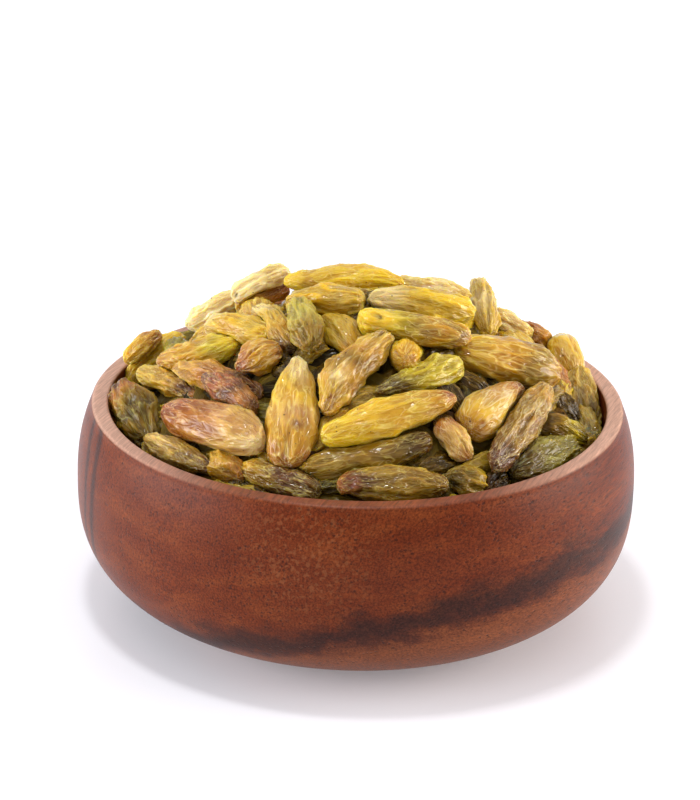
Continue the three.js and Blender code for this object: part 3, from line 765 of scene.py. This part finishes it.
def folded(node, given):
    place = node("GeometryNodeInputNamedAttribute", ["place"], data_type="FLOAT_VECTOR")
    amount = node("GeometryNodeInputNamedAttribute", ["amount"], data_type="FLOAT")
    crests = []
    for stretch, detail, sharp, power in (((1.3, 1.3, 0.3), 0.6, 0.12, 1), ((3.0, 3.0, 0.6), 0.8, 0.12, 1.7),
                                          ((5.0, 5.0, 2.2), 1, 0.13, 1.7)):
        at = node("VectorMath:MULTIPLY", [place, stretch])
        off = off_middle(node, at, detail, 0.35, given["Seed"])
        tent = node("Math:SUBTRACT", [1, node("Math:DIVIDE", [off, sharp])], use_clamp=True)
        crests.append(node("Math:POWER", [tent, power]))
    long, fine, crinkle = crests
    lump_at = node("VectorMath:MULTIPLY", [place, (0.62, 0.62, 0.55)])
    lumps = node("TexNoise", {"Vector": lump_at, "W": given["Seed"], "Scale": 1, "Detail": 1},
                 noise_dimensions="4D")
    patchy = node("MapRange", [lumps, 0.38, 0.62, 0.55, 1.25])
    strength = node("Math:MULTIPLY", [amount, patchy])
    long_and_fine = node("Math:MULTIPLY_ADD", [fine, 0.34, node("Math:MULTIPLY", [long, 0.75])])
    height = node("Math:MULTIPLY", [node("Math:SUBTRACT", [lumps, 0.5]), given["Lump depth"]])
    for crest, depth in ((long_and_fine, "Fold depth"), (crinkle, "Crinkle depth")):
        over = node("Math:MULTIPLY", [node("Math:SUBTRACT", [crest, 0.4]), strength])
        height = node("Math:MULTIPLY_ADD", [over, given[depth], height])
    offset = node("VectorMath:SCALE", {0: node("GeometryNodeInputNormal"), "Scale": height})
    kept = node("GeometryNodeSetPosition", {"Geometry": given["Raisin"], "Offset": offset})
    for name, value in (("crest", long), ("thread", fine)):
        kept = node("GeometryNodeStoreNamedAttribute", {0: kept, "Name": name, "Value": value},
                    data_type="FLOAT", domain="POINT")
    return kept


folding = geometry_tree("Folded raisin skin", {
    "Raisin": ["Geometry"], "Fold depth": ["Float", 0.5 * MM], "Crinkle depth": ["Float", 0.11 * MM],
    "Lump depth": ["Float", 1.0 * MM], "Seed": ["Float", 0.0], "Finish": ["Material"]}, folded)


# %% [markdown]
# ## The raisins' finish
#
# A dried grape skin is thin, waxy and sticky with sugar.  Light goes a few millimetres into the flesh and
# comes back warmer, so thin edges glow.  That is subsurface scattering, with red light going furthest and
# blue least.  The sugar lies on the wax as a clear coat that glints.  The folds' valleys are painted deeper in
# colour, as shade, and a net of thin, pale lines runs over them: there the skin is lifted off the flesh, and
# the lines also carry painted glints along the crests.  Painted lines alone would look flat, so a broad, gentle
# ridge under each of them bends the glints.  Here and there is a dark speck.  Green and dark raisins let
# through less light.

# %% The skin's material: clear and wet, with pale wrinkles
SPECK_SPACING = 1.15  # millimetres
NET = [(1.8, 0.04, 0.2, 1.0), (3.8, 0.055, 0.12, 0.6)]  # scale, half width of lines and of ridges, weight


def raisin_skin(name, pale, valley_shade, depth, gloss, coat=0.8):
    """pale: hex of the lines, partly painted glint; valley: hex that multiplies the valleys as painted shade;
    depth: how far light goes, mm.
    """
    def finish(node):
        tint, place, crest, thread = (
            node("Attribute", read=kind, attribute_name=field) for field, kind in
            (("tint", "Color"), ("place", "Vector"), ("crest", "Fac"), ("thread", "Fac")))

        # Browned patches, a few millimetres wide and longer along the raisin, and painted shade in the valleys
        mottle_at = node("VectorMath:MULTIPLY", [place, (1.6, 1.6, 0.7)])
        mottle = node("TexNoise", {"Vector": mottle_at, "Scale": 1, "Detail": 5, "Roughness": 0.6})
        browned = node("MapRange", [mottle, 0.52, 0.74, 0, 0.26], **SMOOTH)
        low = node("MapRange", [crest, 0, 0.5, 0.44, 0], **SMOOTH)
        colour = tint
        for share, shade in ((browned, "c8a256"), (low, valley_shade)):
            colour = node("Mix", {0: share, 6: colour, 7: linear(shade)}, 2, blend_type="MULTIPLY", **RGBA)

        # The net of pale lines, partly the skin's own paleness and partly painted glint, clearer in some places
        # than in others
        lines, ridges = [], []
        for scale, thin, broad, weight in NET:
            net_at = node("VectorMath:MULTIPLY", [place, (scale, scale, scale / 4.4)])
            gap = off_middle(node, net_at, 1, 0.45)
            lines.append(node("MapRange", [gap, thin, 0, 0, weight]))
            ridges.append(node("MapRange", [gap, broad, 0, 0, weight]))
        strings = node("Math:MULTIPLY_ADD", [thread, 0.15, node("Math:MAXIMUM", lines)])
        patchy = node("MapRange", [mottle, 0.38, 0.6, 0.58, 0.18])
        pale_lines_and_painted_glint = node("Math:MULTIPLY", [strings, patchy], use_clamp=True)

        # Dark specks, about one in every few square millimetres
        at = node("TexCoord", read="Object")
        speck_at = node("VectorMath:SCALE", {0: at, "Scale": 1 / (SPECK_SPACING * MM)})
        speck = node("MapRange", [spots(node, speck_at, 0.6, 0.17), 0, 0.05, 0, 0.85])
        for share, stain in ((pale_lines_and_painted_glint, pale), (speck, "4a2a18")):
            colour = node("Mix", {0: share, 6: colour, 7: linear(stain)}, 2, **RGBA)

        grain = node("TexNoise", {"Vector": speck_at, "Scale": 2.2, "Detail": 3})
        relief = node("Math:MULTIPLY_ADD", [grain, 0.3, node("Math:ADD", ridges)])
        bump = node("Bump", {"Strength": 1, "Distance": 0.13 * MM, "Height": relief})
        return {"Base Color": colour, "Normal": bump, "Coat Normal": bump, "IOR": 1.47,
                "Roughness": node("MapRange", [mottle, 0.3, 0.7, gloss - 0.1, gloss + 0.1]),
                "Specular IOR Level": 0.08, "Coat Weight": coat, "Coat Roughness": 0.07, "Coat IOR": 1.45,
                "Subsurface Weight": 1, "Subsurface Radius": (1, 0.72, 0.14), "Subsurface Scale": depth * MM}

    return principled(name, finish)


# Each finish gives the colour of its pale lines, partly painted glint, and the painted shade of its valleys
FINISHES = {
    # clear, and glow like honey where they are thin
    "gold": raisin_skin("golden_raisin_skin", "f4e088", "c89a34", 1.8, 0.3),
    "bright": raisin_skin("yellow_raisin_skin", "f6e688", "ccac34", 2.0, 0.28),
    # duller, with less glow
    "olive": raisin_skin("olive_raisin_skin", "d8c46c", "9c8028", 1.3, 0.28),
    "amber": raisin_skin("sun_dried_amber_raisin_skin", "e8c07c", "b07030", 1.3, 0.28),
    # nearly opaque: one sees the wet gloss rather than the flesh
    "dark": raisin_skin("shade_dried_dark_raisin_skin", "987c34", "6c4c12", 0.6, 0.24, 0.4),
    "green": raisin_skin("shade_dried_green_raisin_skin", "b4ae60", "8a7a24", 0.9, 0.27, 0.5),
    # milky, with a softer gloss
    "beige": raisin_skin("bleached_raisin_skin", "f2dea4", "c49a4c", 1.6, 0.33),
    "pale": raisin_skin("pale_raisin_skin", "f8eec0", "d2b062", 1.8, 0.33),
}
print("raisin finishes:", sorted(FINISHES))


# %% [markdown]
# ## The raisins that show
#
# The ones on top are seen whole and get a fine skin.  Those deeper down show a corner only, so they get a
# coarser one.  Each piece takes the place of its own solid.

# %% Lay a skin over each solid and fold it
NEAR, DEEP = (58, 88), (40, 56)  # rings and sides
NEAR_UP_TO = 31  # raisins are numbered from the top of the heap down

shown_jobs = []
for name in sorted(n for n in nodes if n.startswith("raisin_")):
    number, word = int(name.split("_")[1]), name.split("_")[2]
    skin = skin_points(read_solid(nodes[name], -look), *(NEAR if number <= NEAR_UP_TO else DEEP), number,
                       FOLDS.get(number, 1.0), TAPERS.get(number, (1, 1)))
    colours = run_colours(OWN_RUNS.get(number, RUNS[word]), skin["along"], skin["around"], number)
    mark_skin(skin, colours, MARKS.get(number, []))
    piece = skin_object(name + "_skin", [skin], [colours])
    shown_jobs.append((piece, folding, {"Seed": number * 3.7, "Finish": FINISHES[word]}))
run_trees(shown_jobs)
for piece, *_ in shown_jobs:
    name = piece.name.removesuffix("_skin")
    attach(piece, "root")
    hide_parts(name)
print(len(shown_jobs), "raisins,", triangles(*(piece for piece, *_ in shown_jobs)), "triangles")


# %% [markdown]
# ## The raisins behind and underneath
#
# The frame holds all the other raisins in one solid: they are laid on the heap by a rule, in three layers,
# and fused.  The same rule is run here, so each of them can get a skin of its own.  A raisin of the rule was
# laid in the frame only where it kept clear of the others, so it is taken when its corners lie on that solid.
# Its skin ends where the solid does, so it stays pressed in where a raisin on top of it lies.

# %% The heap's height and slope, in millimetres
HEAP_TOP, APEX_X, APEX_Y = 62.5, 0.5, 1.0
HEAP_EDGE, HEAP_EDGE_TILT, HEAP_FULLNESS = 37.6, 2.2, 1.55


def heap_height(x, y):
    dx, dy = x - APEX_X, y - APEX_Y
    distance = math.hypot(dx, dy)
    edge = HEAP_EDGE + HEAP_EDGE_TILT * y / RIM_INNER
    if distance < 1e-6:
        return HEAP_TOP
    along = (dx * APEX_X + dy * APEX_Y) / distance
    to_wall = -along + math.sqrt(along**2 + RIM_INNER**2 - APEX_X**2 - APEX_Y**2)
    return edge + (HEAP_TOP - edge) * (1 - min(distance / to_wall, 1.2) ** HEAP_FULLNESS)


def heap_normal(x, y):
    slope_x = heap_height(x + 0.5, y) - heap_height(x - 0.5, y)
    slope_y = heap_height(x, y + 0.5) - heap_height(x, y - 0.5)
    return Vector((-slope_x, -slope_y, 1)).normalized()


# %% The rule that lays them: around the axis by the golden angle, turned at random
GOLDEN_ANGLE = math.pi * (3 - math.sqrt(5))
LAYERS = [
    {"tries": 500, "sink": 1.2, "reach": (0, 41.4), "sides": 6},
    {"tries": 300, "sink": 3.8, "reach": (0, 40.5), "sides": 5},
    {"tries": 16, "sink": 4.0, "reach": (41.2, 41.4), "sides": 5},
]
LAID_WIDTH, LAID_LENGTH, FLATNESS = 6, 18.5, 0.78
BY_THE_WALL = 34  # further out than this they lie along the wall


def between(low, high, share):
    return low + (high - low) * share


def laid_raisin(layer, number, i):
    index = 1000 * (number + 1) + i
    share = (i + 0.5) / layer["tries"]
    radius = math.sqrt(between(layer["reach"][0] ** 2, layer["reach"][1] ** 2, share))
    x, y = radius * math.cos(i * GOLDEN_ANGLE), radius * math.sin(i * GOLDEN_ANGLE)
    width = LAID_WIDTH * between(0.9, 1.25, scatter(index, 11))
    length = LAID_LENGTH * between(0.8, 1.15, scatter(index, 12))
    turn = math.pi * (scatter(index, 13) - 0.5) * (0.4 if radius > BY_THE_WALL else 1)
    normal = heap_normal(x, y)
    along = Matrix.Rotation(turn, 3, "Z") @ Vector((-y, x, 0))
    along.normalize()
    along = (along - normal * along.dot(normal)).normalized()
    middle = Vector((x, y, heap_height(x, y) - width * FLATNESS / 2 - layer["sink"]))
    tilt = 3 * (scatter(index, 14) - 0.5)
    tips = [middle + along * (end * length / 2) - normal * (end * tilt) for end in (-1, 1)]
    return {"index": index, "tips": tips, "width": width, "normal": normal, "sides": layer["sides"],
            "curve": 2 * (scatter(index, 15) - 0.5), "y": y}


# %% A laid raisin's own frame, spine and round section
def own_frame(raisin):
    along = (raisin["tips"][1] - raisin["tips"][0]).normalized()
    up = (raisin["normal"] - along * raisin["normal"].dot(along)).normalized()
    return up, up.cross(along)


def spine_point(raisin, share):
    up, side = own_frame(raisin)
    bulge = 4 * share * (1 - share)
    return raisin["tips"][0].lerp(raisin["tips"][1], share) + side * (raisin["curve"] * bulge) + up * (bulge - 0.5)


def half_width(raisin, share):
    return raisin["width"] / 2 * (1 - abs(2 * share - 1) ** 3.2) ** 0.5


def ring_corners(raisin):
    """The corners that the frame's solid has, in millimetres."""
    up, side = own_frame(raisin)
    index, sides, corners = raisin["index"], raisin["sides"], []
    for ring, share in enumerate(eased(3, 0.75)):
        swell = 1 + 0.12 * (scatter(index, 20 + ring) - 0.5)
        for k in range(sides):
            angle = 2 * math.pi * (k + 0.25 * ring) / sides + index
            radius = half_width(raisin, share) * (1 + 0.18 * (scatter(index, k) - 0.5)) * swell
            corners.append(spine_point(raisin, share) + side * (radius * math.cos(angle))
                           + up * (radius * FLATNESS * math.sin(angle)))
    return corners


# %% Take those that the frame has
ON_IT = 0.004 * MM  # a corner lies on the solid when it is nearer than this

bed_shape = merged_shape(nodes["raisins_beneath"])
bed_tree = BVHTree.FromBMesh(bed_shape)
bed_shape.free()


def is_in_frame(raisin):
    return sum(bed_tree.find_nearest(corner * MM)[3] < ON_IT for corner in ring_corners(raisin)) >= 3


laid = [raisin for number, layer in enumerate(LAYERS) for i in range(layer["tries"])
        if is_in_frame(raisin := laid_raisin(layer, number, i))]
print(len(laid), "of the rule's raisins are in the frame")


# %% The form of a laid raisin: its own section, or the frame's surface where that is nearer
def laid_form(raisin):
    up, side = own_frame(raisin)
    shares = eased(READ_RINGS)
    spine = [spine_point(raisin, share) for share in shares]
    radii = np.zeros((READ_RINGS, READ_SIDES))
    for i, share in enumerate(shares):
        for j in range(READ_SIDES):
            angle = 2 * math.pi * j / READ_SIDES
            round_one = math.hypot(FLATNESS * math.cos(angle), math.sin(angle))
            own = half_width(raisin, share) * FLATNESS / round_one
            outward = side * math.cos(angle) + up * math.sin(angle)
            hit, normal, _, away = bed_tree.ray_cast(spine[i] * MM, outward, own * MM)
            if hit is None:
                radii[i, j] = own
            else:
                leaves = normal.dot(outward) > 0
                radii[i, j] = max(away / MM if leaves else 0.3 * own, 0.25 * own)
    length = (raisin["tips"][1] - raisin["tips"][0]).length
    return {"shares": shares, "spine": np.array(spine) * MM, "radii": radii * MM, "side": np.array(side),
            "up": np.array(up), "tips": np.array(raisin["tips"]) * MM, "length": length * MM}


# %% Skins for the laid raisins, one piece for each colour
SHARES = {"gold": 0.26, "bright": 0.1, "olive": 0.26, "dark": 0.06, "green": 0.08, "amber": 0.11,
          "beige": 0.09, "pale": 0.04}
# Raisins in the front's gaps get a darker mix of skins and keep only part of their colour: painted shade
GAP_SHARES_PAINTED_DARK = {"olive": 0.55, "dark": 0.3, "green": 0.08, "amber": 0.07}  # deep in the front's gaps, and in shade
PAINTED_GAP_SHADE = 0.65  # how much of their colour they keep there
FRONT_UP_TO = 9  # millimetres behind the axis
LAID = (36, 52)  # rings and sides


def drawn_word(shares, draw):
    total = 0
    for word, share in shares.items():
        total += share
        if draw < total:
            return word
    return "olive"


laid_skins = {word: [] for word in SHARES}
for raisin in laid:
    seed = raisin["index"] % 97
    deep_down = raisin["y"] < FRONT_UP_TO
    word = drawn_word(GAP_SHARES_PAINTED_DARK if deep_down else SHARES, scatter(raisin["index"], 31))
    skin = skin_points(laid_form(raisin), *LAID, seed)
    colours = run_colours(RUNS[word], skin["along"], skin["around"], seed) * (PAINTED_GAP_SHADE if deep_down else 1)
    laid_skins[word].append((skin, colours))
laid_jobs = [(skin_object(f"laid_{word}_raisins", *zip(*skins)), folding, {"Seed": 11.0, "Finish": FINISHES[word]})
             for word, skins in laid_skins.items() if skins]
run_trees(laid_jobs)
for piece, *_ in laid_jobs:
    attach(piece, "root")
    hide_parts("raisins_beneath")
print({word: len(skins) for word, skins in laid_skins.items()}, triangles(*(p for p, *_ in laid_jobs)), "triangles")


# %% [markdown]
# ## Deep in the heap
#
# Between the raisins one looks down on more raisins.  They fill the bowl, so a tree sets copies of a plain
# raisin on a surface some way under the heap and makes them real, with colours darkened as painted shade.
# Below them is a filling with the bowl's inner form, coloured dark as painted shade: it is in nobody's sight,
# but no light may shine through the heap.

# %% The surface that they lie on, and the filling
CORE_SINK, CORE_FROM_WALL = 8.4, 2.5
CORE_SIDES = 72


def filling():
    shape = bmesh.new()
    corners = [(math.cos(a), math.sin(a)) for a in rounds(CORE_SIDES)]
    rows = [(inner_radius(z) - CORE_FROM_WALL, z) for z in (FLOOR_TOP + 0.3, 9, 12, 16, 20, 24, 28)]
    rings = [[(r * x, r * y, z) for x, y in corners] for r, z in rows]
    for share in (1, 0.93, 0.85, 0.75, 0.65, 0.55, 0.45, 0.35, 0.25, 0.15, 0.07):
        r = share * (RIM_INNER - CORE_FROM_WALL)
        rings.append([(r * x, r * y, heap_height(r * x, r * y) - CORE_SINK) for x, y in corners])
    rings = [[shape.verts.new([x * MM for x in place]) for place in ring] for ring in rings]
    middle = [shape.verts.new((0, 0, (heap_height(0, 0) - CORE_SINK) * MM))] * CORE_SIDES
    for lower, upper in zip(rings, [*rings[1:], middle]):
        for k in range(CORE_SIDES):
            after = (k + 1) % CORE_SIDES
            corners = (lower[k], lower[after], upper[after], upper[k])
            shape.faces.new(corners[:3] if upper is middle else corners)
    shape.faces.new(list(reversed(rings[0])))
    bmesh.ops.recalc_face_normals(shape, faces=shape.faces)
    mesh = bpy.data.meshes.new("filling")
    shape.to_mesh(mesh)
    shape.free()
    return linked("heap_filling", mesh)


core = filling()
# The filling and the deep copies get a dim finish and the darkest raisin brown: painted shade of the heap's depths
core_finish = raisin_skin("deep_raisin_skin", "6f6433", "4c3a1c", 0.6, 0.5, 0.15)
core.data.materials.append(core_finish)
count = len(core.data.vertices)
write_fields(core.data, tint=np.tile(linear(PALETTE["deep"])[:3], (count, 1)), crest=np.full(count, 0.2),
             place=np.array([v.co for v in core.data.vertices]) / (3 * MM))
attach(core, "root")
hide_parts("raisins_beneath")
print("filling:", triangles(core), "triangles")

# %% A plain raisin, 17.5 mm long and 6.6 mm wide
PLAIN = {"rings": 7, "sides": 10, "length": 17.5, "width": 6.6}
plain_shares, plain_rounds = eased(PLAIN["rings"], 0.75), rounds(PLAIN["sides"])
plain_along = np.append(np.repeat(plain_shares, PLAIN["sides"]), [0, 1])
plain_around = np.append(np.tile(plain_rounds, PLAIN["rings"]), [0, 0])


def plain_raisin():
    points = []
    for share in plain_shares:
        wide = PLAIN["width"] / 2 * (1 - abs(2 * share - 1) ** 2.8) ** 0.5
        for k, angle in enumerate(plain_rounds):
            ridge = wide * (1.12 if k % 2 else 0.9)
            points.append(((share - 0.5) * PLAIN["length"], ridge * math.cos(angle), 0.8 * ridge * math.sin(angle)))
    points += [(-PLAIN["length"] / 2, 0, 0), (PLAIN["length"] / 2, 0, 0)]
    mesh = bpy.data.meshes.new("plain_raisin")
    faces = [tuple(reversed(face)) for face in skin_faces(PLAIN["rings"], PLAIN["sides"])]
    mesh.from_pydata((np.array(points) * MM).tolist(), [], faces)
    piece = linked("plain_raisin", mesh)
    face_outwards(piece)
    return piece


# %% A tree that sets it on a surface
def scattered(node, given):
    parts = node("SeparateXYZ", [node("GeometryNodeInputPosition")], None)
    flat = node("CombineXYZ", {"X": parts["X"], "Y": parts["Y"]})
    from_axis = node("VectorMath:LENGTH", [flat], "Value")
    high = node("FunctionNodeCompare:GREATER_THAN", [parts["Z"], given["Lowest"]], data_type="FLOAT")
    near = node("FunctionNodeCompare:LESS_THAN", [from_axis, given["Reach"]], data_type="FLOAT")
    spread = node("GeometryNodeDistributePointsOnFaces", {
        "Mesh": given["Surface"], "Selection": node("FunctionNodeBooleanMath:AND", [high, near]),
        "Distance Min": given["Apart"], "Density Max": 90000, "Seed": given["Seed"]}, None,
        distribute_method="POISSON")
    turn = node("FunctionNodeRandomValue", {2: -3.14, 3: 3.14, "ID": node("GeometryNodeInputIndex"),
                                            "Seed": given["Seed"]}, 1, data_type="FLOAT")
    rotation = node("FunctionNodeRotateRotation", [spread["Rotation"], node("CombineXYZ", {"Z": turn})],
                    rotation_space="LOCAL")
    model = node("GeometryNodeObjectInfo", {"Object": given["Raisin"]}, "Geometry")
    return node("GeometryNodeInstanceOnPoints", {"Points": spread["Points"], "Instance": model,
                                                 "Rotation": rotation})


scattering = geometry_tree("Raisins on a surface", {
    "Surface": ["Geometry"], "Raisin": ["Object"], "Apart": ["Float", 4.0 * MM], "Lowest": ["Float", 20 * MM],
    "Reach": ["Float", 40 * MM], "Seed": ["Int", 5], "Finish": ["Material"]}, scattered)

# %% Set them on the filling, and colour each copy
# The deep copies get a darker mix of skins and lose most of their colour, as painted shade
DEEP_SHARES = {"olive": 0.5, "dark": 0.3, "amber": 0.1, "gold": 0.1}
PAINTED_DEEP_SHADE = 0.25  # how much of their colour they keep down there

model_raisin = plain_raisin()
deep_raisins = linked("deep_raisins", core.data.copy())
run_trees([(deep_raisins, scattering, {"Raisin": model_raisin, "Finish": core_finish})])
bpy.data.objects.remove(model_raisin)
deep_mesh = deep_raisins.data
for field in {"tint", "place", "crest"} & {f.name for f in deep_mesh.attributes}:
    deep_mesh.attributes.remove(deep_mesh.attributes[field])
tints, places = [], []
for k in range(len(deep_mesh.vertices) // len(plain_along)):
    word = drawn_word(DEEP_SHARES, scatter(k, 5))
    tints.append(run_colours(RUNS[word], plain_along, plain_around, k) * PAINTED_DEEP_SHADE)
    places.append(np.stack([np.cos(plain_around), np.sin(plain_around), 5 * plain_along + 3 * k], axis=1))
write_fields(deep_mesh, tint=np.vstack(tints), place=np.vstack(places),
             crest=np.full(len(deep_mesh.vertices), 0.4))
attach(deep_raisins, "root")
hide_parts("raisins_beneath")
print("deep raisins:", triangles(deep_raisins), "triangles")
